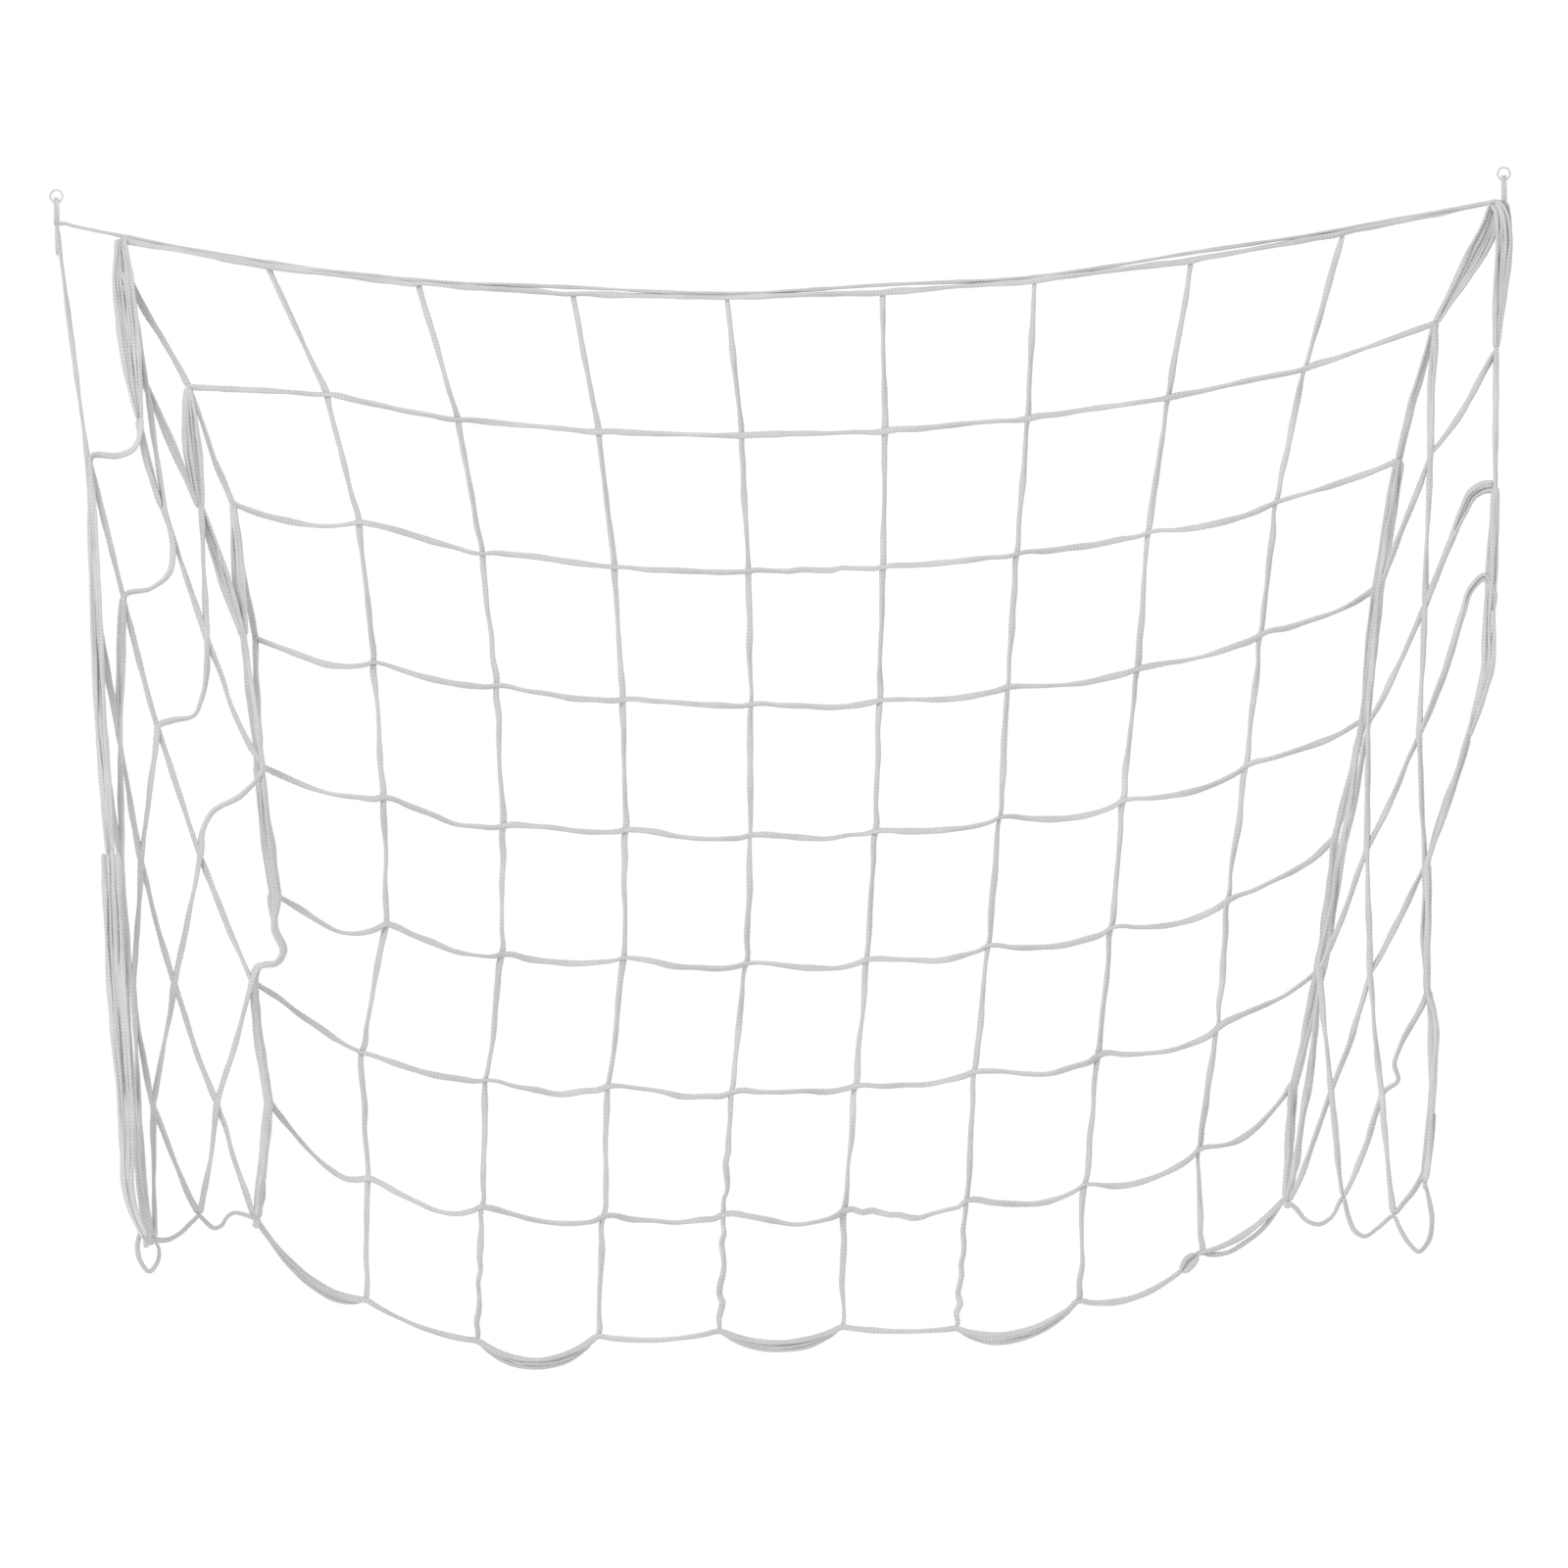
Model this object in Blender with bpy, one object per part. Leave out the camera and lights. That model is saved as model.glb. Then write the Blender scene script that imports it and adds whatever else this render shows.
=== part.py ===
"""Hockey goal net hung by its two top corners.

Square netting of knotless twine, 9 meshes wide and 8 deep in the back panel. Past each corner a side panel
that tapers in 45 degree steps turns down and hangs in folds. Every twine and edge cord is one solid.
Metres, +Z up, +X to the right and -Y to the front. The origin is midway between the two hooks that the net
hangs on.
"""

import math

import bpy
import numpy as np

# The netting
MESH = 0.152  # side of one mesh, crossing to crossing, along the twine
TWINE = 0.0060  # diameter of a netting twine
CORD = 0.0060  # diameter of an edge cord
ROWS = 8  # meshes from the head of the back panel to its foot
COLUMNS = 9  # meshes across the back panel
SIDE = 8  # meshes past each corner along the head; one fewer in each lower row
GAP = 0.0003  # left between solids that touch

# How the back panel hangs
HOOK_X = 0.8125  # from the middle of the net to each hook
HEAD_DIP = 0.1180  # the middle of the head below the hooks
ROW_DROP, DROP_LOSS = 0.1560, 0.0012  # each row below the last, and how that shrinks towards the foot
SAG, SAG_GROWTH = 0.0870, 0.0055  # rise of a row from its middle to its ends
LEAN = 0.0110  # the right end of a row above its middle
FOOT_HALF, HEAD_EXTRA, NARROWING = 0.580, 0.190, 2.2  # half width low down, more at the head, rows to lose it
PINCH = 0.026  # the end meshes of a row are narrower
DRIFT, DRIFT_GAIN, DRIFT_LOSS = 0.030, 0.0045, 0.0014  # of a row's middle to the right, least at the foot
BOW = 0.070  # the back panel bellies to the rear
KICK = 0.0725  # and its foot swings back, which balances the side panels
ROW_SLACK, COLUMN_SLACK = 0.06, 0.10  # share of its spare length that a span shows, for a row per row down
TURN, TURN_STEP = 1.1, 2.4  # how far round and how often a slack span's bow leaves the vertical

# Where the folded side panels tug at the back panel: (across, up) at (column, row)
TUGS = {
    (4, 0): (-0.003, 0.000), (5, 0): (-0.005, 0.000), (6, 0): (-0.010, 0.000), (7, 0): (-0.007, 0.000),
    (8, 0): (-0.005, 0.000), (9, 0): (0.003, -0.004), (0, 1): (0.000, -0.013), (1, 1): (0.007, 0.006),
    (9, 1): (0.000, 0.010), (1, 2): (0.006, 0.011), (9, 2): (0.001, 0.004), (0, 3): (0.000, -0.010),
    (7, 3): (0.004, -0.005), (8, 3): (0.005, -0.002), (9, 3): (0.006, 0.007), (0, 4): (-0.009, -0.009),
    (1, 4): (0.000, -0.008), (2, 4): (0.000, -0.013), (7, 4): (0.001, -0.007), (8, 4): (0.006, -0.005),
    (9, 4): (0.011, 0.000), (0, 5): (0.000, -0.015), (1, 5): (0.000, -0.009), (2, 5): (-0.002, -0.014),
    (5, 5): (-0.003, 0.000), (6, 5): (-0.003, 0.000), (7, 5): (0.000, -0.007), (8, 5): (0.000, -0.015),
    (9, 5): (-0.003, 0.008), (0, 6): (-0.022, 0.024), (1, 6): (-0.025, -0.014), (2, 6): (-0.016, -0.015),
    (3, 6): (-0.012, -0.003), (4, 6): (-0.009, -0.003), (5, 6): (-0.006, 0.000), (6, 6): (-0.008, 0.000),
    (7, 6): (-0.002, -0.010), (8, 6): (0.003, -0.019), (0, 7): (0.004, 0.021), (1, 7): (-0.010, -0.019),
    (2, 7): (-0.011, -0.019), (3, 7): (-0.007, -0.010), (4, 7): (-0.007, 0.000), (5, 7): (-0.007, -0.001),
    (6, 7): (-0.004, -0.006), (7, 7): (-0.003, -0.017), (8, 7): (-0.003, -0.019), (9, 7): (-0.021, 0.000),
    (0, 8): (0.000, 0.022), (1, 8): (0.000, -0.022), (2, 8): (-0.004, -0.034), (3, 8): (0.000, -0.008),
    (4, 8): (0.003, 0.006), (5, 8): (0.006, 0.006), (6, 8): (0.000, -0.013), (7, 8): (0.006, -0.012),
    (8, 8): (0.018, 0.000), (9, 8): (-0.009, 0.007),
}  # fmt: skip

# How the side panels fold: (out from the middle, below the hooks) of each crossing past the corner, row by
# row. The left panel is gathered at its head, which brings one more row into it above the back panel's first.
SIDE_STEP = 0.036  # each mesh of a side panel comes this much forward
LEFT_TOP, RIGHT_TOP = -1, 0
LEFT_FOLDS = (
    ((0.735, 0.095), (0.720, 0.245), (0.775, 0.290), (0.770, 0.440), (0.765, 0.585),
     (0.755, 0.730), (0.750, 0.870), (0.740, 1.010), (0.720, 1.155)),
    ((0.715, 0.200), (0.695, 0.345), (0.740, 0.445), (0.750, 0.595), (0.745, 0.740), (0.740, 0.880),
     (0.735, 1.020), (0.720, 1.160)),
    ((0.655, 0.345), (0.650, 0.490), (0.705, 0.590), (0.725, 0.735), (0.735, 0.880), (0.730, 1.020),
     (0.720, 1.155)),
    ((0.610, 0.490), (0.590, 0.635), (0.660, 0.735), (0.690, 0.875), (0.715, 1.010), (0.715, 1.160)),
    ((0.595, 0.635), (0.575, 0.780), (0.605, 0.875), (0.645, 1.010), (0.665, 1.135)),
    ((0.580, 0.775), (0.605, 0.880), (0.590, 1.010), (0.605, 1.140)),
    ((0.605, 0.880), (0.590, 1.015), (0.605, 1.145)),
    ((0.590, 1.015), (0.605, 1.145)),
    ((0.605, 1.145),),
)  # fmt: skip
RIGHT_FOLDS = (
    ((0.800, 0.190), (0.795, 0.345), (0.785, 0.485), (0.760, 0.625), (0.715, 0.765), (0.710, 0.905),
     (0.710, 1.040), (0.695, 1.115)),
    ((0.725, 0.305), (0.715, 0.475), (0.705, 0.620), (0.710, 0.765), (0.705, 0.900), (0.705, 1.035),
     (0.695, 1.115)),
    ((0.665, 0.455), (0.650, 0.605), (0.645, 0.745), (0.645, 0.885), (0.655, 1.020), (0.665, 1.155)),
    ((0.645, 0.605), (0.620, 0.740), (0.590, 0.880), (0.600, 1.015), (0.610, 1.135)),
    ((0.610, 0.740), (0.595, 0.880), (0.575, 1.015), (0.550, 1.140)),
    ((0.590, 0.885), (0.560, 1.015), (0.550, 1.140)),
    ((0.560, 1.015), (0.550, 1.140)),
    ((0.550, 1.140),),
)  # fmt: skip

# Slack spans of the left panel hang in a bend: places, (across, below the hooks), between two crossings
KINK = ((-0.580, 0.820), (-0.570, 0.850), (-0.595, 0.860))
BENDS = {
    ((-2, -1), (-3, -1)): ((-0.720, 0.265), (-0.735, 0.285)),
    ((-2, 0), (-3, 0)): ((-0.685, 0.405), (-0.705, 0.435)),
    ((-2, 1), (-3, 1)): ((-0.660, 0.575), (-0.680, 0.580)),
    ((-2, 2), (-3, 2)): ((-0.615, 0.675), (-0.655, 0.695)),
    ((0, 5), (0, 6)): KINK,
    ((-1, 4), (-1, 5)): KINK,
    ((-2, 3), (-2, 4)): KINK,
}

# The edge cords
CORD_STEP = CORD + 0.0008  # from the middle of an edge twine to the middle of the cord beside it
FOOT_STEP = CORD + 0.0020  # the same below the foot, whose cord hangs clear on its slopes
END_STEP = CORD + 0.0066  # and outside the head row of a side panel
END_DROP = CORD + 0.0026  # and below the head cord at the hook
HEAD_LIFT = 0.008  # how far the head cord stands off the netting between the meshes that it is tied to
FOOT_LOOP, FOOT_DIP = 0.014, 0.003  # the foot cord's slack below every second mesh, and below the others
SIDE_LOOP = 0.020  # the same below the side panels

# The loops it hangs on
LOOP_RADIUS, LOOP_WIRE = 0.0070, 0.0020
LASHING_RADIUS, LASHING_WIRE = 0.0100, 0.0015
LASHING_TOP = 0.0045  # the lashing passes this far above the middle of the loop's wire, and hangs from it
UNDER_HOOK = 2 * LASHING_RADIUS - LASHING_TOP + LASHING_WIRE + CORD / 2 + GAP  # the head cord's ends

SIDES = 1  # bevel resolution of a twine, which gives it six sides
RING_SIDES = 16
STEPS = 3  # straight pieces of a slack twine from crossing to crossing
CROSSING = TWINE / 2 + 0.0008  # rows pass this much in front of the net's middle surface, columns behind
FOLDED = 1.5  # columns this many times as much in the side panels, where twines meet at sharp angles
BEND_STEP = 0.004  # and a bend's places stand this much further out
FOOT_TRIM = 0.0110  # cut off a side's foot cord where it meets the back's
TRIM = TWINE / 2 + 0.0060  # cut off a twine's start where it meets another end
FRONT = np.array([0.0, -1.0, 0.0])
DOWN = np.array([0.0, 0.0, -1.0])
TWINE_COLOUR, CORD_COLOUR, ROUGHNESS = (0.62, 0.62, 0.62), (0.58, 0.58, 0.58), 0.75


def back_knot(column, row):
    """A crossing of the back panel: each row hangs in a shallow bow between its two ends."""
    u = 2 * column / COLUMNS - 1
    half = FOOT_HALF + HEAD_EXTRA * math.exp(-row / NARROWING)
    x = DRIFT + DRIFT_GAIN * row - DRIFT_LOSS * row**2 + (half + PINCH) * u - PINCH * u**3
    y = BOW * (1 - u * u) * math.sin(math.pi * row / (ROWS + 2)) + KICK * row / ROWS
    z = -HEAD_DIP - ROW_DROP * row + DROP_LOSS * row**2 + (SAG + SAG_GROWTH * row) * u * u + LEAN * u
    across, up = TUGS.get((column, row), (0.0, 0.0))
    return np.array([x + across, y, z + up])


def side_knot(side, step, row):
    """A crossing of a side panel, step meshes past the corner: its rows turn down and hang side by side."""
    folds, top = (RIGHT_FOLDS, RIGHT_TOP) if side > 0 else (LEFT_FOLDS, LEFT_TOP)
    out, below = folds[row - top][step - 1]
    y = KICK * (row + step) / ROWS - SIDE_STEP * step
    return np.array([side * out, y, -below])


def knot(column, row):
    """Any crossing: columns 0 to 9 are the back panel's, and those before and after are the side panels'."""
    if column < 0:
        return side_knot(-1, -column, row)
    if column > COLUMNS:
        return side_knot(1, column - COLUMNS, row)
    return back_knot(column, row)


def top(column):
    """The highest row that a column has."""
    return LEFT_TOP if column < 0 else 0


def reach(column):
    """The lowest row that a column has."""
    return ROWS - max(0, -column, column - COLUMNS)


def facing(column, row):
    """The net's normal at a crossing, to the front, from the crossings around it."""
    if 0 <= column <= COLUMNS:
        return FRONT
    left, right = max(column - 1, row - SIDE), min(column + 1, COLUMNS + SIDE - row)
    if row < 0:
        right = min(right, -1)
    upper, lower = max(row - 1, top(column)), min(row + 1, reach(column))
    across = knot(right, row) - knot(left, row)
    down = knot(column, lower) - knot(column, upper)
    normal = np.cross(down, across)
    size = np.linalg.norm(normal)
    return normal / size if size > 0 else FRONT


def bowed(start, end, depth, away):
    """Points from start up to end, bowed out sideways by depth in the middle."""
    points = []
    for step in range(STEPS):
        t = step / STEPS
        points.append(start + (end - start) * t + away * depth * 4 * t * (1 - t))
    return points


def bends(first, second, start, end, layer):
    """The places of the bend that a slack span hangs in, if it has one."""
    places = BENDS.get((first, second), ())
    aside = facing(*second) * BEND_STEP * layer
    points = []
    for i, (across, below) in enumerate(places):
        t = (i + 1) / (len(places) + 1)
        points.append(np.array([across, start[1] + (end[1] - start[1]) * t, -below]) + aside)
    return points


def twine_line(crossings, layer):
    """A twine's line through its crossings: layer is 1 in front of the net's surface, negative behind."""
    places = [knot(*c) + facing(*c) * CROSSING * layer for c in crossings]
    points = []
    for i in range(len(crossings) - 1):
        points.append(places[i])
        points += bends(crossings[i], crossings[i + 1], places[i], places[i + 1], layer)
    return points + [places[-1]]


def slack_line(crossings, layer, slack_share, seed):
    """The same for the back panel, each span bowed by a share of what it is shorter than a mesh."""
    places = [knot(*c) + facing(*c) * CROSSING * layer for c in crossings]
    points = []
    for i in range(len(crossings) - 1):
        start, end = places[i], places[i + 1]
        if (crossings[i], crossings[i + 1]) in BENDS:
            points += [start] + bends(crossings[i], crossings[i + 1], start, end, layer)
            continue
        span = np.linalg.norm(end - start)
        spare = max(0.0, MESH / span - 1) * slack_share
        turn = TURN * math.sin(seed + TURN_STEP * i)
        away = np.array([0.0, math.sin(turn), -math.cos(turn)])
        points += bowed(start, end, span * math.sqrt(3 / 8 * spare), away)
    return points + [places[-1]]


def trimmed(points, length):
    """The same line with its start cut back, to stand clear of the twine that it meets."""
    along = points[1] - points[0]
    return [points[0] + along * length / np.linalg.norm(along)] + points[1:]


def cord_material(name, colour):
    """Matt white polyester."""
    material = bpy.data.materials.new(name)
    material.use_nodes = True
    shader = material.node_tree.nodes["Principled BSDF"]
    shader.inputs["Base Color"].default_value = (*colour, 1.0)
    shader.inputs["Roughness"].default_value = ROUGHNESS
    shader.inputs["Metallic"].default_value = 0.0
    return material


def tube(name, points, diameter, material, parent, closed=False):
    """A round cord along a line of points."""
    curve = bpy.data.curves.new(name, "CURVE")
    curve.dimensions = "3D"
    curve.bevel_depth = diameter / 2
    curve.bevel_resolution = SIDES
    curve.use_fill_caps = True
    curve.resolution_u = 1
    curve.render_resolution_u = 0
    spline = curve.splines.new("POLY")
    spline.points.add(len(points) - 1)
    for point, place in zip(spline.points, points):
        point.co = (*place, 1.0)
    spline.use_cyclic_u = closed
    spline.use_smooth = True
    curve.materials.append(material)
    piece = bpy.data.objects.new(name, curve)
    bpy.context.collection.objects.link(piece)
    piece.parent = parent
    return piece


def ring(name, centre, radius, wire, across_x, material, parent):
    """A closed upright ring, in the plane of the net or across it."""
    points = []
    for i in range(RING_SIDES):
        turn = 2 * math.pi * i / RING_SIDES
        sideways, height = radius * math.sin(turn), radius * math.cos(turn)
        offset = (0.0, sideways, height) if across_x else (sideways, 0.0, height)
        points.append(np.array(centre) + np.array(offset))
    return tube(name, points, 2 * wire, material, parent, closed=True)


def back_row(row):
    """The middle line of a row of the back panel: the lower it is, the slacker."""
    return slack_line([(c, row) for c in range(COLUMNS + 1)], 1, ROW_SLACK * row, row)


def build_back(material, net):
    """The back panel's rows and columns."""
    for row in range(ROWS + 1):
        tube(f"back_row_{row}", back_row(row), TWINE, material, net)
    for column in range(COLUMNS + 1):
        line = slack_line([(column, r) for r in range(ROWS + 1)], -1, COLUMN_SLACK, column)
        tube(f"back_column_{column}", line, TWINE, material, net)


def build_side(side, label, material, net):
    """One side panel's rows, which carry on from the back panel's, and its columns."""
    corner = COLUMNS if side > 0 else 0
    for row in range(ROWS):
        crossings = [(corner + side * step, row) for step in range(SIDE - row + 1)]
        tube(f"{label}_row_{row}", trimmed(twine_line(crossings, 1), TRIM), TWINE, material, net)
    for step in range(1, SIDE):
        column = corner + side * step
        crossings = [(column, r) for r in range(top(column), reach(column) + 1)]
        tube(f"{label}_column_{step}", twine_line(crossings, -FOLDED), TWINE, material, net)


def build_gather(material, net):
    """The row above the others in the left panel: it falls from the corner in front of them."""
    line = twine_line([(-step, LEFT_TOP) for step in range(1, SIDE - LEFT_TOP + 1)], 1)
    corner = knot(0, 0) + FRONT * (CROSSING + TWINE + GAP)
    tube("left_gathered_row", trimmed([corner] + line, TRIM), TWINE, material, net)


def head_cord():
    """The cord along the head of the back panel, from hook to hook, tied down at every second mesh."""
    points = [np.array([-HOOK_X, 0.0, -UNDER_HOOK])]
    for column in range(COLUMNS + 1):
        lift = HEAD_LIFT if column % 2 and column < COLUMNS else 0.0
        points.append(knot(column, 0) + np.array([0.0, -CROSSING, CORD_STEP + lift]))
    points.append(np.array([HOOK_X, 0.0, -UNDER_HOOK]))
    return points


def end_cord(side):
    """The cord that falls from a hook beside the head row of a side panel."""
    corner = COLUMNS if side > 0 else 0
    out = np.array([side * END_STEP, 0.0, 0.0])
    first, row = (1, RIGHT_TOP) if side > 0 else (3, LEFT_TOP)
    points = [np.array([side * (HOOK_X + 0.0010), 0.0, -UNDER_HOOK - END_DROP])]
    for step in range(first, SIDE - row + 1):
        points.append(knot(corner + side * step, row) + out)
    return points


def foot_cord():
    """The cord along the foot of the back panel, in scallops below every second mesh."""
    points = []
    for i, place in enumerate(back_row(ROWS)):
        span, t = i // STEPS, i % STEPS / STEPS
        dip = FOOT_DIP if span % 2 else FOOT_LOOP
        points.append(place + DOWN * (FOOT_STEP + dip * 4 * t * (1 - t)))
    return points


def side_foot_cord(side):
    """The cord along a side panel's slanting foot, which hangs in small loops from the ends of its twines."""
    corner, last = (COLUMNS, ROWS - RIGHT_TOP) if side > 0 else (0, ROWS - LEFT_TOP)
    line = [knot(corner + side * step, ROWS - step) + DOWN * FOOT_STEP for step in range(last + 1)]
    points = []
    for start, end in zip(line, line[1:]):
        points += bowed(start, end, SIDE_LOOP, DOWN)
    return trimmed(points + [line[-1]], FOOT_TRIM)


def build_cords(material, net):
    """The six lengths of edge cord, which meet at the corners."""
    tube("head_cord", head_cord(), CORD, material, net)
    tube("foot_cord", foot_cord(), CORD, material, net)
    for side, label in ((-1, "left"), (1, "right")):
        tube(f"{label}_end_cord", end_cord(side), CORD, material, net)
        tube(f"{label}_foot_cord", side_foot_cord(side), CORD, material, net)


def build_hanging(material, net, hooks):
    """At each corner, a loop that stays on the hook, and the lashing of the net that turns in it."""
    for side, label in ((-1, "left"), (1, "right")):
        x = side * HOOK_X
        loop_middle, lashing_middle = (x, 0, LOOP_RADIUS), (x, 0, LASHING_TOP - LASHING_RADIUS)
        ring(f"{label}_hanging_loop", loop_middle, LOOP_RADIUS, LOOP_WIRE, False, material, hooks)
        ring(f"{label}_corner_lashing", lashing_middle, LASHING_RADIUS, LASHING_WIRE, True, material, net)


def empty(name):
    item = bpy.data.objects.new(name, None)
    bpy.context.collection.objects.link(item)
    return item


def main():
    for item in list(bpy.data.objects):
        bpy.data.objects.remove(item, do_unlink=True)
    net = empty("net_on_its_swing_axis")
    hooks = empty("hooks")
    twine = cord_material("netting_twine", TWINE_COLOUR)
    edge = cord_material("edge_cord", CORD_COLOUR)
    build_back(twine, net)
    build_side(-1, "left", twine, net)
    build_side(1, "right", twine, net)
    build_gather(twine, net)
    build_cords(edge, net)
    build_hanging(edge, net, hooks)


main()
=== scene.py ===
"""The looks of a hockey goal net that hangs by its two top corners.

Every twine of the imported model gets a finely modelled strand: a flattened two-ply plait that turns slowly
over as it runs, and meets the others in knotless joints. The strands follow the model's crossings, within a
few millimetres. Lengths are in metres.
"""

import math

import bpy
import numpy as np
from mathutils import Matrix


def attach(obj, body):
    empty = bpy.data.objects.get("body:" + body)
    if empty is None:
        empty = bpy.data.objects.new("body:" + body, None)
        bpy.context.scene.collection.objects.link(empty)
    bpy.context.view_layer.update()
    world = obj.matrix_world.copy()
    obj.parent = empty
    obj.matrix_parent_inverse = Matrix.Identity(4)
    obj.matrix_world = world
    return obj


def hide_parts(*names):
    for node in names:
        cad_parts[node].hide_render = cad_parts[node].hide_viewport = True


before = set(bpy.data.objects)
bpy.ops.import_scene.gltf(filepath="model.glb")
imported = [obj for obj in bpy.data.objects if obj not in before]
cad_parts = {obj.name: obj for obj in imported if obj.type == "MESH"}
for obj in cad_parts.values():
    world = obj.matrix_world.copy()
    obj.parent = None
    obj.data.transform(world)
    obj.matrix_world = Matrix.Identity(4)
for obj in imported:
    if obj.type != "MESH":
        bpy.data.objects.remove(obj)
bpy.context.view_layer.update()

# The netting, as in the model
MESH = 0.152  # side of one mesh, crossing to crossing
ROWS = 8  # meshes from the head of the back panel to its foot
COLUMNS = 9  # meshes across the back panel
SIDE = 8  # meshes past each corner along the head; one fewer in each lower row

# How the back panel hangs
HOOK_X = 0.8125  # from the middle of the net to each hook
HEAD_DIP = 0.1180  # the middle of the head below the hooks
ROW_DROP, DROP_LOSS = 0.1560, 0.0012  # each row below the last one, and how much less lower down
SAG, SAG_GROWTH = 0.0870, 0.0055  # the ends of the head above its middle, and how much more in each lower row
LEAN = 0.0110  # the right end of a row above its middle
FOOT_HALF, HEAD_EXTRA, NARROWING = 0.580, 0.190, 2.2  # half widths, and the rows over which they narrow
PINCH = 0.026  # the end meshes of a row are narrower
DRIFT, DRIFT_GAIN, DRIFT_LOSS = 0.030, 0.0045, 0.0014  # how far a row's middle lies to the right
BOW = 0.070  # the back panel bellies to the rear
KICK = 0.0725  # and its foot swings back, which balances the side panels
ROW_SLACK, COLUMN_SLACK = 0.06, 0.10  # share of a mesh's spare length that hangs slack
TURN, TURN_STEP = 1.1, 2.4  # how far the slack turns out of the net's plane, and its change from mesh to mesh
TUGS = {  # how far the netting is tugged aside and up at a crossing
    (4, 0): (-0.003, 0.000), (5, 0): (-0.005, 0.000), (6, 0): (-0.010, 0.000), (7, 0): (-0.007, 0.000),
    (8, 0): (-0.005, 0.000), (9, 0): (0.003, -0.004), (0, 1): (0.000, -0.018), (1, 1): (0.007, 0.006),
    (9, 1): (0.000, 0.010), (0, 2): (0.003, -0.003), (1, 2): (0.006, 0.011), (9, 2): (0.001, 0.004),
    (0, 3): (0.000, -0.010),
    (7, 3): (0.004, -0.005), (8, 3): (0.005, -0.002), (9, 3): (0.006, 0.007), (0, 4): (-0.013, -0.009),
    (1, 4): (0.000, -0.008), (2, 4): (0.000, -0.013), (7, 4): (0.001, -0.007), (8, 4): (0.006, -0.005),
    (9, 4): (0.011, 0.000), (0, 5): (0.000, -0.015), (1, 5): (0.000, -0.009), (2, 5): (-0.002, -0.014),
    (5, 5): (-0.003, 0.000), (6, 5): (-0.003, 0.000), (7, 5): (0.000, -0.007), (8, 5): (0.000, -0.015),
    (9, 5): (-0.003, 0.008), (0, 6): (-0.022, 0.024), (1, 6): (-0.025, -0.014), (2, 6): (-0.016, -0.015),
    (3, 6): (-0.012, -0.003), (4, 6): (-0.009, -0.003), (5, 6): (-0.006, 0.000), (6, 6): (-0.008, 0.000),
    (7, 6): (-0.002, -0.010), (8, 6): (0.003, -0.019), (0, 7): (0.004, 0.021), (1, 7): (-0.010, -0.019),
    (2, 7): (-0.011, -0.019), (3, 7): (-0.007, -0.010), (4, 7): (-0.007, 0.000), (5, 7): (-0.007, -0.001),
    (6, 7): (-0.004, -0.006), (7, 7): (-0.003, -0.017), (8, 7): (-0.003, -0.019), (9, 7): (-0.021, 0.000),
    (0, 8): (0.000, 0.022), (1, 8): (0.000, -0.022), (2, 8): (-0.004, -0.034), (3, 8): (0.000, -0.008),
    (4, 8): (0.003, 0.006), (5, 8): (0.006, 0.006), (6, 8): (0.000, -0.013), (7, 8): (0.006, -0.012),
    (8, 8): (0.018, 0.000), (9, 8): (-0.009, 0.007),
}  # fmt: skip

# How the side panels fold: (out from the middle, below the hooks) of each crossing, row by row
SIDE_STEP = 0.036  # each mesh of a side panel comes this much forward
LEFT_TOP, RIGHT_TOP = -1, 0  # the highest row of each side panel
LEFT_FOLDS = (
    ((0.735, 0.095), (0.720, 0.245), (0.775, 0.290), (0.770, 0.440), (0.765, 0.585),
     (0.755, 0.730), (0.750, 0.870), (0.740, 1.010), (0.720, 1.155)),
    ((0.715, 0.200), (0.695, 0.345), (0.740, 0.445), (0.746, 0.597), (0.745, 0.740), (0.740, 0.880),
     (0.735, 1.020), (0.720, 1.160)),
    ((0.655, 0.345), (0.650, 0.490), (0.705, 0.590), (0.725, 0.735), (0.735, 0.880), (0.730, 1.020),
     (0.720, 1.155)),
    ((0.610, 0.490), (0.590, 0.635), (0.660, 0.735), (0.690, 0.875), (0.715, 1.010), (0.715, 1.160)),
    ((0.595, 0.635), (0.575, 0.780), (0.605, 0.875), (0.645, 1.010), (0.665, 1.135)),
    ((0.580, 0.775), (0.605, 0.880), (0.590, 1.010), (0.605, 1.140)),
    ((0.605, 0.880), (0.590, 1.015), (0.605, 1.145)),
    ((0.590, 1.015), (0.605, 1.145)),
    ((0.605, 1.145),),
)  # fmt: skip
RIGHT_FOLDS = (
    ((0.800, 0.190), (0.795, 0.345), (0.785, 0.485), (0.758, 0.625), (0.709, 0.765), (0.7065, 0.905),
     (0.7075, 1.040), (0.697, 1.116)),
    ((0.725, 0.305), (0.715, 0.475), (0.705, 0.620), (0.708, 0.765), (0.7065, 0.900), (0.708, 1.035),
     (0.698, 1.116)),
    ((0.665, 0.455), (0.650, 0.605), (0.645, 0.745), (0.645, 0.885), (0.655, 1.020), (0.665, 1.155)),
    ((0.645, 0.605), (0.620, 0.740), (0.590, 0.880), (0.600, 1.015), (0.610, 1.135)),
    ((0.610, 0.740), (0.595, 0.880), (0.575, 1.015), (0.550, 1.140)),
    ((0.590, 0.885), (0.560, 1.015), (0.550, 1.140)),
    ((0.560, 1.015), (0.550, 1.140)),
    ((0.550, 1.140),),
)  # fmt: skip

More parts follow.
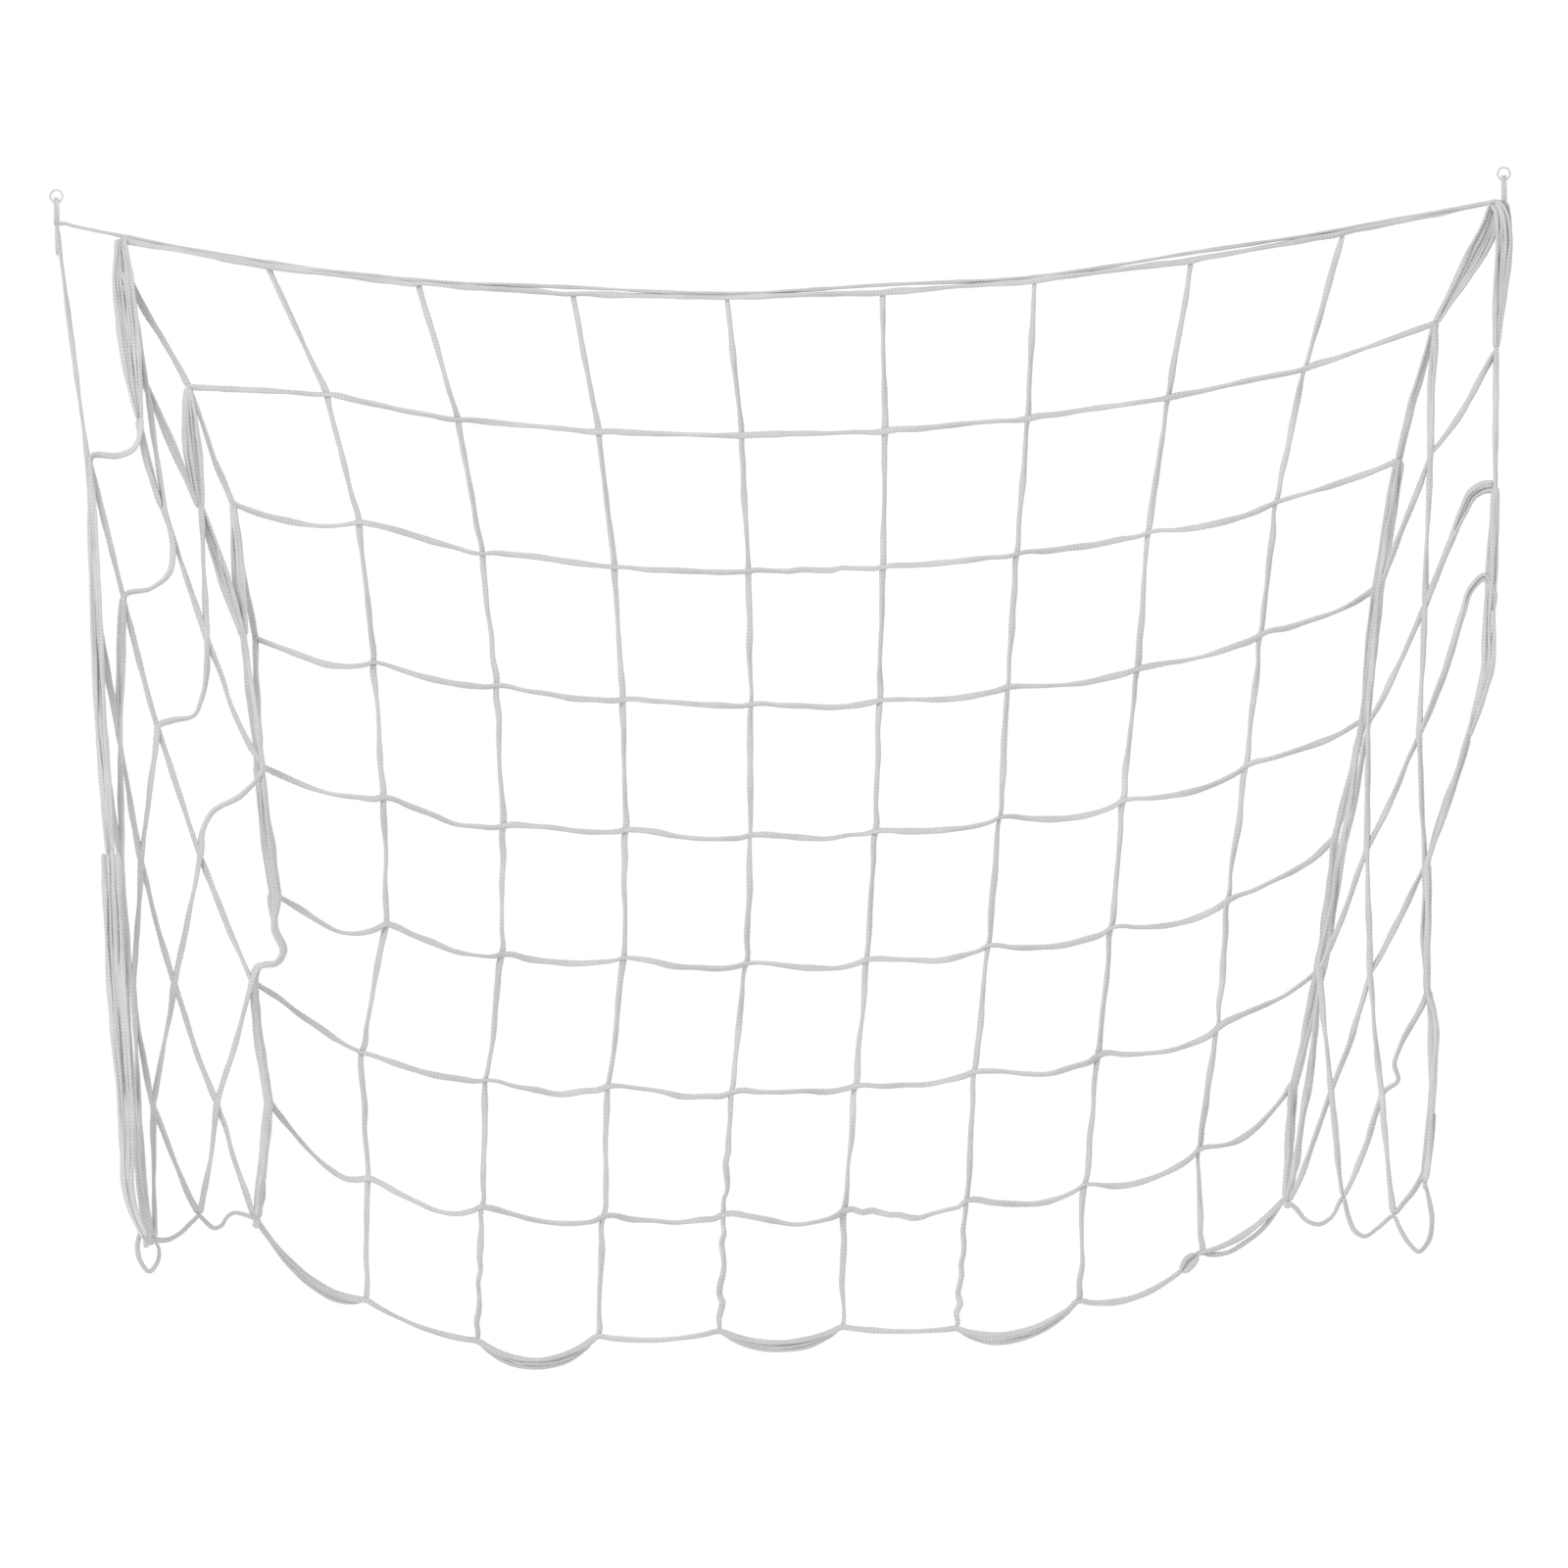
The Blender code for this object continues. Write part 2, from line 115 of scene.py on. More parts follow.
# Spans that hang in a bend: places, (across, below the hooks), between two crossings
KINK = ((-0.580, 0.820), (-0.571, 0.846), (-0.578, 0.857), (-0.598, 0.861))
BENDS = {
    ((-2, -1), (-3, -1)): ((-0.720, 0.265), (-0.727, 0.280), (-0.742, 0.287)),
    ((-2, 0), (-3, 0)): ((-0.685, 0.395), (-0.690, 0.420), (-0.710, 0.436)),
    ((-2, 1), (-3, 1)): ((-0.656, 0.560), (-0.664, 0.578), (-0.690, 0.584)),
    ((-2, 2), (-3, 2)): ((-0.613, 0.668), (-0.647, 0.688), (-0.657, 0.708)),
    ((0, 5), (0, 6)): KINK,
    ((-1, 4), (-1, 5)): KINK,
    ((-2, 3), (-2, 4)): KINK,
    ((11, 0), (11, 1)): ((0.782, 0.346), (0.769, 0.354), (0.759, 0.372), (0.738, 0.420)),
    ((12, 0), (12, 1)): ((0.7865, 0.462), (0.780, 0.447), (0.766, 0.460), (0.756, 0.488), (0.735, 0.550)),
    ((14, 1), (14, 2)): ((0.675, 0.970), (0.669, 0.988), (0.673, 1.006)),
    ((0, 5), (-1, 5)): KINK,
    ((-1, 4), (-2, 4)): KINK,
    ((-2, 3), (-3, 3)): KINK,
    ((12, 0), (13, 0)): ((0.783, 0.520), (0.781, 0.548), (0.774, 0.575)),
    ((-8, -1), (-9, -1)): ((-0.738, 1.060), (-0.738, 1.100), (-0.731, 1.130)),
    ((0, 0), (0, 1)): ((-0.7335, 0.080), (-0.7225, 0.105), (-0.6965, 0.154), (-0.681, 0.182)),
    ((15, 0), (16, 0)): ((0.712, 0.930), (0.714, 0.950), (0.711, 0.990)),
    ((-2, 1), (-2, 2)): ((-0.6325, 0.538), (-0.6255, 0.563), (-0.6145, 0.590), (-0.603, 0.614)),
    ((15, 1), (15, 2)): ((0.704, 1.067), (0.698, 1.108), (0.687, 1.129), (0.675, 1.143)),
    ((14, 1), (15, 1)): ((0.711, 0.925), (0.713, 0.948), (0.710, 0.990)),
    ((9, 0), (10, 0)): ((0.8085, 0.032), (0.8135, 0.062), (0.8110, 0.096), (0.8045, 0.144)),
    ((9, 0), (9, 1)): ((0.797, 0.048), (0.7815, 0.080), (0.763, 0.111), (0.747, 0.137)),
}

# The slack of the edge cord below a side panel: places, (across, below the hooks), after a crossing
SCALLOPS = {
    (-4, 4): ((-0.616, 1.137), (-0.629, 1.135), (-0.636, 1.140), (-0.641, 1.148), (-0.649, 1.151),
              (-0.659, 1.143)),
    (-5, 3): ((-0.672, 1.142), (-0.686, 1.155), (-0.700, 1.162)),
    (-7, 1): ((-0.709, 1.166), (-0.708, 1.182), (-0.718, 1.195), (-0.728, 1.182), (-0.730, 1.163),
              (-0.724, 1.148)),
    (13, 4): ((0.557, 1.147), (0.570, 1.162), (0.583, 1.166), (0.596, 1.159)),
    (14, 3): ((0.615, 1.156), (0.622, 1.173), (0.632, 1.179), (0.648, 1.169)),
    (15, 2): ((0.670, 1.168), (0.681, 1.187), (0.691, 1.196), (0.701, 1.186), (0.706, 1.164), (0.703, 1.139)),
}
FOOT_SAGS = (0.022, 0.008, 0.024, 0.007, 0.015, 0.004, 0.020, 0.021, 0.011)  # of each mesh of the foot
FOOT_SPREAD = (0.0038, 0, 0.0046, 0, 0.0044, 0, 0.0044, 0, 0.0050)  # from strand to strand in each of them
LUMP = ((0.452, 1.204), (0.444, 1.211), (0.434, 1.223))  # a tangle beside the foot's last crossing but one

# How much lower than an even slack the middle of a mesh's row hangs, by the crossing to its left
EXTRA_SAG = {
    (0, 2): 0.008, (1, 2): -0.007, (2, 2): -0.006, (7, 2): 0.004,
    (3, 3): -0.004, (4, 3): -0.003, (6, 3): 0.004,
    (0, 4): 0.008, (2, 4): -0.012, (3, 4): -0.004, (7, 4): 0.003,
    (0, 5): 0.005, (1, 5): -0.004, (4, 5): -0.007, (5, 5): -0.004, (6, 5): 0.004, (7, 5): 0.005,
    (2, 6): -0.004, (3, 6): -0.010, (4, 6): -0.006, (7, 6): -0.003, (8, 6): -0.004,
    (0, 7): 0.011, (1, 7): -0.003, (4, 7): -0.003, (5, 7): -0.005, (7, 7): 0.007, (8, 7): 0.007,
}  # fmt: skip

# Where more strands of the bunched netting lie beside a twine: the crossings they follow, how far apart
# they lie along it, and how many there are
BANDS = {
    "back_column_0": [(((0, 0), (0, 1)), (0.002, 0.0035, 0.0020, 0.0005, 0.0005), 1),
                      (((0, 4), (0, 5)), (0.002, 0.0045, 0.003), 1)],
    "back_column_9": [(((9, 0), (9, 1)), (0.0025, 0.0046, 0.0040, 0.0019, 0.0008), 4),
                      (((9, 1), (9, 2)), (0.001, 0.0042, 0.0025), 1),
                      (((9, 2), (9, 3), (9, 4)), (0.003, 0.005, 0.004, 0.005, 0.002), 2)],
    "left_column_1": [(((-1, -1), (-1, 0), (-1, 1)), (0.002, 0.004, 0.004, 0.002), 1),
                      (((-1, 1), (-1, 2)), (0.001, 0.0050, 0.0045, 0.001), 2)],
    "left_column_2": [(((-2, -1), (-2, 0)), (0.003, 0.0055, 0.003), 1)],
    "left_column_4": [(((-4, -1), (-4, 0)), (0.001, 0.0040, 0.0035, 0.001), 1)],
    "left_row_0": [(((0, 0), (-1, 0)), (0.001, 0.005, 0.003), 1),
                   (((-3, 0), (-4, 0)), (0.002, 0.0035, 0.0045, 0.001), 1)],
    "left_row_1": [(((0, 1), (-1, 1)), (0.0012, 0.0055, 0.0052, 0.002), 3)],
    "left_row_2": [(((0, 2), (-1, 2)), (0.002, 0.0045, 0.0035), 2)],
    "left_row_6": [(((0, 6), (-1, 6)), (0.001, 0.005, 0.001), 1)],
    "left_gathered_row": [
        (((0, 0), (-1, -1), (-2, -1)), (0.0016, 0.0040, 0.0042, 0.0034, 0.0010), 5),
        (((-3, -1), (-4, -1), (-5, -1), (-6, -1)), (0.001, 0.0040, 0.0045, 0.0045, 0.003), 2),
        (((-6, -1), (-7, -1), (-8, -1), (-9, -1)), (0.0040, 0.0042, 0.0038, 0.0032, 0.001), 4)],
    "right_row_0": [(((9, 0), (10, 0)), (0.0030, 0.0050, 0.0044, 0.0026, 0.001), 3),
                    (((11, 0), (12, 0), (13, 0)), (0.002, 0.004, 0.0055, 0.001), 2)],
    "right_row_1": [(((9, 1), (10, 1)), (0.001, 0.0044, 0.0036, 0.001), 1)],
    "right_column_2": [(((11, 0), (11, 1)), (0.0050, 0.0042, 0.0008, 0.0004, 0.0003), 2)],
    "right_column_3": [(((12, 0), (12, 1)), (0.0040, 0.0030, 0.0010, 0.0005), 1)],
}  # fmt: skip

FRONT = np.array([0.0, -1.0, 0.0])
DOWN = np.array([0.0, 0.0, -1.0])
ACROSS = np.array([1.0, 0.0, 0.0])

# The strands: half width and half depth of their flattened plait
TWINE = (0.0036, 0.0026)
EDGE_CORD = (0.0030, 0.0021)
HEAD_CORD = (0.0023, 0.0017)
FOLLOWER = (0.0032, 0.0021)
LASHING = (0.0010, 0.0010)
LOOP = (0.0011, 0.0011)
CURVE_STEPS = 12  # from one control point to the next, before the curve is cut in even steps
RING_STEP = 0.0020  # from one ring of vertices to the next along a strand
FEWEST_STEPS = 4  # however short it is
RING = 12  # vertices round a strand
END_TAPER = 0.007  # length over which a strand's end closes
END_SIZE = 0.02  # share of the section that is left at the very end
STITCH_PITCH = 0.0080  # length of one stitch of the plait
STITCH_DEPTH = 0.030  # share of the section that a stitch swells
GROOVE = 0.24  # share of its depth that the plait loses along its middle
STITCH_SLANT = 1.9  # how far, in radians, a stitch runs back towards the edges
PLY_EDGE = 5.0  # how sharply one ply gives way to the other across the strand
GROOVE_WIDTH = 0.38  # of the groove between them, as a share of the half width
ROLL_SLOW, ROLL_FAST = (1.2, 0.310), (0.35, 0.117)  # radians that a strand turns over, and in what length
SWELL_FAST, SWELL_SLOW = (0.06, 0.041), (0.05, 0.026 * math.pi)  # share that it swells, and in what length

JOINT = 0.0013  # how far a twine's middle leaves the net's surface at a joint
JOINT_REACH = 0.009  # a joint is this long to each side of the crossing
ROW_JOG, COLUMN_JOG = 0.0015, 0.0011  # how far a twine steps aside in going through a joint
JOG_RANGE = (0.3, 1.4)  # and between what shares of it
WOBBLE = np.array([0.0009, 0.0016, 0.0009])  # how unevenly a twine runs between two joints, low down
WOBBLE_LEAST, JOG_LEAST = 0.2, 0.3  # the shares of both at the head; both grow by 1 down to the foot
SPAN_SHARES = (0.22, 0.41, 0.60, 0.79)  # where a span has its inner places
SKEW = 0.22  # how far the lowest place of a slack span lies from its middle
SIDE_SLACK = 0.08  # share of a mesh's spare length that hangs slack in the side panels
RIPPLED = {((4, 2), (5, 2)), ((4, 6), (4, 7)), ((4, 7), (4, 8)), ((5, 7), (6, 7)), ((2, 7), (2, 8)),
           ((6, 7), (6, 8))}  # fmt: skip
RIPPLE, RIPPLE_RANGE, RIPPLE_PLACES = 0.0007, (0.5, 1.5), 12
BAND_SHARES = (0.15, 0.5, 0.85)  # where a band has its places between two crossings
FOLLOWER_LAYER = 0.0010  # each strand of a band lies this much in front of the one before

# The head cord: its places from the left hook, how far it lies above and in front of each crossing and how
# much higher it lies at some of them, and its places from the right hook
HEAD_START = (
    (0, 0, -0.0600), (0, 0, -0.0320), (0.0008, 0, -0.0255), (0.0060, 0, -0.0238), (0.0200, 0, -0.0270),
)  # fmt: skip
HEAD_ABOVE, HEAD_LAYER = 0.0042, 0.001
HEAD_LIFTS = (-0.0008, -0.0008, -0.0006, 0.0036, 0, 0.0045, 0, 0.0045, 0)
HEAD_LAST = DOWN * -0.0025 + FRONT * 0.003  # from the middle of its last mesh
HEAD_END = (
    (-0.0150, -0.002, -0.0258), (-0.0050, 0, -0.0243), (0.0025, 0, -0.0275), (0.0048, 0, -0.0370),
    (0.0015, 0, -0.1000),
)  # fmt: skip
HEAD_TAIL = ACROSS * 0.001  # from the crossing below the right corner
HEAD_FOLLOWER = FRONT * 0.003 + DOWN * 0.002  # the strand that doubles the head, from its row

# The foot of the back panel, and the cords at the edges of the side panels
FOOT_PLACES = (0.0, 0.1, 0.3, 0.5, 0.7, 0.9)  # where a mesh of the foot has its places
FOOT_FULLNESS = 0.9  # the lower, the fuller its scallop
SPREAD_GAIN = 1.5  # how soon the strands of a scallop part
SPREAD_LAYER, CLOSE_LAYER = 0.0022, 0.0036  # each strand lies behind the one before, where they part or not
TANGLE_SPACING, TANGLE_COUNT = (0.001, 0.0026, 0.0026, 0.001), 4
GATHER_START = (FRONT * 0.004, FRONT * 0.004 + DOWN * 0.020 + ACROSS * -0.002)  # from the corner
END_TOP = -0.0260  # where the end cords leave the lashings
END_SHARES = (0, 0.25, 0.5, 0.75)  # and their places down to the first crossing
END_BESIDE = {-1: ACROSS * -0.003, 1: ACROSS * 0.0005 - FRONT * 0.004}  # from the crossings, on each side
TIE_DROP, TIE_SAG = 0.002, 0.007  # the side foot cords below a crossing, and below the middle of a mesh

# The loops on the hooks and the lashings below them
LOOP_RADIUS = 0.0070
LOOP_HALF_GAP = 0.0011  # between the loop's two turns
LASHING_DEPTH, LASHING_HEIGHT = 0.0056, 0.0147  # half the size of a turn
LASHING_MIDDLE = -0.0102  # height of its middle
LASHING_TURNS, LASHING_STEP = 3, 0.0021  # and how far apart they lie
RING_POINTS = 24  # places in a turn

# Random seeds. Strands of one kind count up from theirs.
SEEDS = {
    "head cord": 2, "foot cord": 3, "end cord": 5, "side foot cord": 8, "row": 10, "loop": 20, "lashing": 23,
    "back column": 30, "head follower": 41, "gathered row": 44, "foot follower": 50, "tangle": 59,
    "side column": 80,
}  # fmt: skip
SIDE_SEED_STEP, BAND_SEED_STEP, NODE_SEED_STEP = 10, 13, 7
SECTION_SEED = 1000  # added for how a strand turns over and swells

# The yarns: name, grey and length of a stitch in the shading. The edge cords' yarn is the netting's yarn a
# little darker, as painted shade.
YARNS = (("netting_yarn", 0.47, 0.0040), ("edge_yarn_painted_darker", 0.44, 0.0040), ("lashing_yarn", 0.52, 0.0022))
SHADE_SLANT = 2.6  # how far, in radians, a stitch runs back towards the edges
FILAMENTS = 4.0  # filaments in a stitch
FILAMENT_WANDER = 3.0  # how far, in radians, they stray
TONE_AND_GROOVE_SHADE_WEIGHTS = (0.10, 0.025, 0.20, 0.70)  # of the stitches, filaments, fibres and clouds; the stitches and filaments add painted shade in the bump's grooves, the fibres and clouds random tone
BUMP_WEIGHTS = (0.55, 0.15, 0.35)  # of the stitches, filaments and fibres
DARKEST, LIGHTEST = 0.80, 1.14  # shares of the grey


# ---------------------------------------------------------------- crossings, as in the model


def back_knot(column, row):
    """A crossing of the back panel: each row hangs in a shallow bow between its two ends."""
    u = 2 * column / COLUMNS - 1
    half = FOOT_HALF + HEAD_EXTRA * math.exp(-row / NARROWING)
    x = DRIFT + DRIFT_GAIN * row - DRIFT_LOSS * row**2 + (half + PINCH) * u - PINCH * u**3
    y = BOW * (1 - u * u) * math.sin(math.pi * row / (ROWS + 2)) + KICK * row / ROWS
    z = -HEAD_DIP - ROW_DROP * row + DROP_LOSS * row**2 + (SAG + SAG_GROWTH * row) * u * u + LEAN * u
    across, up = TUGS.get((column, row), (0.0, 0.0))
    return np.array([x + across, y, z + up])


def side_knot(side, step, row):
    """A crossing of a side panel, step meshes past the corner."""
    folds, top_row = (RIGHT_FOLDS, RIGHT_TOP) if side > 0 else (LEFT_FOLDS, LEFT_TOP)
    out, below = folds[row - top_row][step - 1]
    y = KICK * (row + step) / ROWS - SIDE_STEP * step
    return np.array([side * out, y, -below])


def knot(column, row):
    """Any crossing: columns 0 to 9 are the back panel's, and those before and after are the side panels'."""
    if column < 0:
        return side_knot(-1, -column, row)
    if column > COLUMNS:
        return side_knot(1, column - COLUMNS, row)
    return back_knot(column, row)


def top(column):
    """The highest row that a column has."""
    return LEFT_TOP if column < 0 else 0


def reach(column):
    """The lowest row that a column has."""
    return ROWS - max(0, -column, column - COLUMNS)


def facing(column, row):
    """The net's normal at a crossing, to the front, from the crossings around it."""
    if 0 <= column <= COLUMNS:
        return FRONT
    left, right = max(column - 1, row - SIDE), min(column + 1, COLUMNS + SIDE - row)
    if row < 0:
        right = min(right, -1)
    upper, lower = max(row - 1, top(column)), min(row + 1, reach(column))
    normal = np.cross(knot(column, lower) - knot(column, upper), knot(right, row) - knot(left, row))
    size = np.linalg.norm(normal)
    return normal / size if size > 0 else FRONT


# ---------------------------------------------------------------- lines


def in_back(crossing):
    """Whether a crossing lies in the back panel."""
    return 0 <= crossing[0] <= COLUMNS


def span_points(first, second, start, end, slack_share, seed, chance, steps_aside):
    """Places between two crossings: a bend where the span has one, or else a slack, slightly uneven run."""
    if bend(first, second):
        return bend_places(first, second, start, end)
    span = np.linalg.norm(end - start)
    spare = max(0.0, MESH / span - 1) * slack_share
    depth = span * math.sqrt(3 / 8 * spare)  # of a shallow arc with that much to spare
    turn = TURN * math.sin(seed)
    away = np.array([0.0, math.sin(turn), -math.cos(turn)])
    loose = WOBBLE_LEAST + (first[1] + second[1]) / 2 / ROWS
    near = JOINT_REACH / span
    is_row = first[1] == second[1]
    extra = DOWN * (EXTRA_SAG.get(first, 0.0) if is_row else 0.0)
    aside = DOWN * -1 if is_row else ACROSS
    ripples = (first, second) in RIPPLED
    shares = np.linspace(near, 1 - near, RIPPLE_PLACES) if ripples else (near, *SPAN_SHARES, 1 - near)
    points = []
    for i, t in enumerate(shares):
        bow = math.sin(math.pi * t) - SKEW * math.sin(2 * math.pi * t)
        uneven = chance.normal(0, 1, 3) * WOBBLE * loose * (near < t < 1 - near)
        if ripples:
            uneven += chance.uniform(*RIPPLE_RANGE) * RIPPLE * (-1) ** (i // 2) * aside
        sag = away * depth * bow + extra * math.sin(math.pi * t)
        points.append(start + (end - start) * t + sag + uneven)
    points[0] += steps_aside[0]
    points[-1] -= steps_aside[1]
    return points


def bend(first, second):
    """The places of a span's bend, in the direction asked for, or nothing."""
    return BENDS.get((first, second)) or BENDS.get((second, first), ())[::-1]


def bend_places(first, second, start, end):
    """The same in space, with depths that run evenly from one crossing to the other."""
    places = bend(first, second)
    depths = np.linspace(start[1], end[1], len(places) + 2)[1:-1]
    return [np.array([across, depth, -below]) for (across, below), depth in zip(places, depths)]


def unit(vector):
    """The vector at length 1."""
    return vector / np.linalg.norm(vector)


def twine_points(crossings, layer, slack_share, jog, seed):
    """Control points of a twine through its crossings, and which of them are the crossings."""
    chance = np.random.RandomState(seed)
    places = [knot(*c) + facing(*c) * JOINT * layer for c in crossings]
    asides = []
    for i, (column, row) in enumerate(crossings):
        along = places[min(i + 1, len(places) - 1)] - places[max(i - 1, 0)]
        aside = np.cross(unit(along), facing(column, row)) * jog * chance.uniform(*JOG_RANGE)
        asides.append(aside * (JOG_LEAST + row / ROWS) * (0 < column < COLUMNS))
    points, marks = [], []
    for i, place in enumerate(places):
        marks.append(len(points))
        points.append(place)
        if i < len(places) - 1:
            share = slack_share if in_back(crossings[i]) and in_back(crossings[i + 1]) else SIDE_SLACK
            turn = seed + TURN_STEP * i
            pair = slice(i, i + 2)
            points += span_points(*crossings[pair], *places[pair], share, turn, chance, asides[pair])
    return points, marks


def smooth(points, marks=(), closed=False):
    """A smooth curve through the points, in even steps, and where along it the marked ones are."""
    points = np.array(points)
    if closed:
        points = np.vstack([points[-2:], points, points[:3]])
    gaps = np.linalg.norm(np.diff(points, axis=0), axis=1)
    slopes = np.diff(points, axis=0) / gaps[:, None]
    share = (gaps[1:] / (gaps[1:] + gaps[:-1]))[:, None]
    tangents = np.vstack([slopes[:1], slopes[:-1] * share + slopes[1:] * (1 - share), slopes[-1:]])
    fine, ends = [], [0]
    for i, gap in enumerate(gaps):
        t = np.linspace(0, 1, CURVE_STEPS + 1)[:-1, None]
        start = (2 * t**3 - 3 * t**2 + 1) * points[i] + (t**3 - 2 * t**2 + t) * gap * tangents[i]
        end = (3 * t**2 - 2 * t**3) * points[i + 1] + (t**3 - t**2) * gap * tangents[i + 1]
        fine.append(start + end)
        ends.append(ends[-1] + len(t))
    if closed:
        fine = np.vstack(fine[2:-2])
        fine = np.vstack([fine, fine[:1]])
        ends = [0]
    else:
        fine = np.vstack(fine + [points[-1:]])
    length = np.concatenate([[0], np.cumsum(np.linalg.norm(np.diff(fine, axis=0), axis=1))])
    count = max(FEWEST_STEPS, round(length[-1] / RING_STEP))
    even = np.linspace(0, length[-1], count + 1)
    line = np.column_stack([np.interp(even, length, fine[:, axis]) for axis in range(3)])
    if closed:
        return line[:-1], []
    return line, [round(length[ends[m]] / length[-1] * count) for m in marks]


# ---------------------------------------------------------------- strands


def rings_round(line, size, seed, toward=FRONT, closed=False):
    """Rings of vertices round a line, for a plait that slowly turns over, and how far along each one is."""
    chance = np.random.RandomState(seed + SECTION_SEED)
    starts = chance.uniform(0, 2 * math.pi, 4)
    if closed:
        tangent = np.roll(line, -1, axis=0) - np.roll(line, 1, axis=0)
    else:
        tangent = np.gradient(line, axis=0)
    tangent /= np.linalg.norm(tangent, axis=1)[:, None]
    near = toward - tangent * (tangent @ toward)[:, None]
    near /= np.linalg.norm(near, axis=1)[:, None]
    aside = np.cross(tangent, near)
    along = np.concatenate([[0], np.cumsum(np.linalg.norm(np.diff(line, axis=0), axis=1))])[:, None]
    turns = 2 * math.pi * np.arange(RING)[None, :] / RING
    wide, thick = np.cos(turns), np.sin(turns)
    ply = np.tanh(PLY_EDGE * wide)
    phase = 2 * math.pi * along / STITCH_PITCH + ply * math.pi / 2 - STITCH_SLANT * np.abs(wide)
    stitch = 1 + STITCH_DEPTH * np.cos(phase)
    groove = 1 - GROOVE * np.exp(-((wide / GROOVE_WIDTH) ** 2))
    near_end = np.minimum(along, along[-1] - along) if not closed else np.full_like(along, END_TAPER)
    taper = np.sqrt(1 + END_SIZE**2 - (1 - np.minimum(near_end / END_TAPER, 1)) ** 2)
    swell = 1 + SWELL_FAST[0] * np.sin(2 * math.pi * along / SWELL_FAST[1] + starts[2])
    swell = swell + SWELL_SLOW[0] * np.sin(2 * math.pi * along / SWELL_SLOW[1] + starts[3])
    swell = swell * taper
    width = size[0] * wide * stitch * swell
    depth = size[1] * thick * groove * stitch * swell
    roll = ROLL_SLOW[0] * np.sin(2 * math.pi * along / ROLL_SLOW[1] + starts[0])
    roll = roll + ROLL_FAST[0] * np.sin(2 * math.pi * along / ROLL_FAST[1] + starts[1])
    sideways = width * np.cos(roll) - depth * np.sin(roll)
    forward = width * np.sin(roll) + depth * np.cos(roll)
    rings = line[:, None, :] + sideways[..., None] * aside[:, None, :] + forward[..., None] * near[:, None, :]
    return rings, along[:, 0]


def strand_mesh(rings, along, closed=False):
    """Vertices, quads, end triangles and each face corner's (around, along) of one strand."""
    count = len(rings)
    vertices = rings.reshape(-1, 3)
    rows = np.arange(count if closed else count - 1)[:, None]
    around = np.arange(RING)[None, :]
    following, beside = (rows + 1) % count, (around + 1) % RING
    quads = np.stack([rows * RING + around, rows * RING + beside, following * RING + beside,
                      following * RING + around], -1)  # fmt: skip
    lengths = np.append(along, along[-1] + RING_STEP)
    low = np.broadcast_to(lengths[rows], quads.shape[:2])
    high = np.broadcast_to(lengths[rows + 1], quads.shape[:2])
    left = np.broadcast_to(around / RING, quads.shape[:2])
    right = left + 1 / RING
    corners = np.stack([np.stack([left, low], -1), np.stack([right, low], -1), np.stack([right, high], -1),
                        np.stack([left, high], -1)], -2)  # fmt: skip
    quads, corners = quads.reshape(-1, 4), corners.reshape(-1, 2)
    if closed:
        return vertices, quads, np.zeros((0, 3), int), corners, np.zeros((0, 2))
    middles = rings[[0, -1]].mean(axis=1)
    vertices = np.vstack([vertices, middles])
    last = (count - 1) * RING
    turn, next_turn = np.arange(RING), (np.arange(RING) + 1) % RING
    near = np.stack([np.full(RING, count * RING), next_turn, turn], -1)
    far = np.stack([np.full(RING, count * RING + 1), last + turn, last + next_turn], -1)
    triangles = np.vstack([near, far])
    ends = np.repeat([[0.5, lengths[0]], [0.5, along[-1]]], RING * 3, axis=0)
    return vertices, quads, triangles, corners, ends


def piece(name, strands, material, body, node):
    """One object from several strands, which stands for one node of the model."""
    vertices, quads, triangles, corners, ends = [], [], [], [], []
    total = 0
    for rings_and_places in strands:
        points, four, three, four_corners, three_corners = strand_mesh(*rings_and_places)
        vertices.append(points)
        quads.append(four + total)
        triangles.append(three + total)
        corners.append(four_corners)
        ends.append(three_corners)
        total += len(points)
    vertices, quads, triangles = np.vstack(vertices), np.vstack(quads), np.vstack(triangles)
    mesh = bpy.data.meshes.new(name)
    mesh.vertices.add(len(vertices))
    mesh.vertices.foreach_set("co", vertices.ravel().astype(np.float32))
    mesh.loops.add(quads.size + triangles.size)
    corner_vertices = np.concatenate([quads.ravel(), triangles.ravel()])
    mesh.loops.foreach_set("vertex_index", corner_vertices.astype(np.int32))
    mesh.polygons.add(len(quads) + len(triangles))
    starts = np.concatenate([np.arange(len(quads)) * 4, quads.size + np.arange(len(triangles)) * 3])
    mesh.polygons.foreach_set("loop_start", starts.astype(np.int32))
    mesh.update(calc_edges=True)
    layer = mesh.uv_layers.new(name="strand")
    layer.data.foreach_set("uv", np.vstack(corners + ends).ravel().astype(np.float32))
    mesh.shade_smooth()
    mesh.validate()
    mesh.materials.append(material)
    made = bpy.data.objects.new(name, mesh)
    bpy.context.collection.objects.link(made)
    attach(made, body)
    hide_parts(node)


def strand(points, size, seed, toward=FRONT):
    """One open strand along a few points."""
    line, _ = smooth(points)
    return rings_round(line, size, seed, toward)


def loop_strand(points, size, seed, toward):
    """One closed strand through a few points."""
    line, _ = smooth(points, closed=True)
    rings, along = rings_round(line, size, seed, toward, closed=True)
    return rings, along, True


# ---------------------------------------------------------------- material


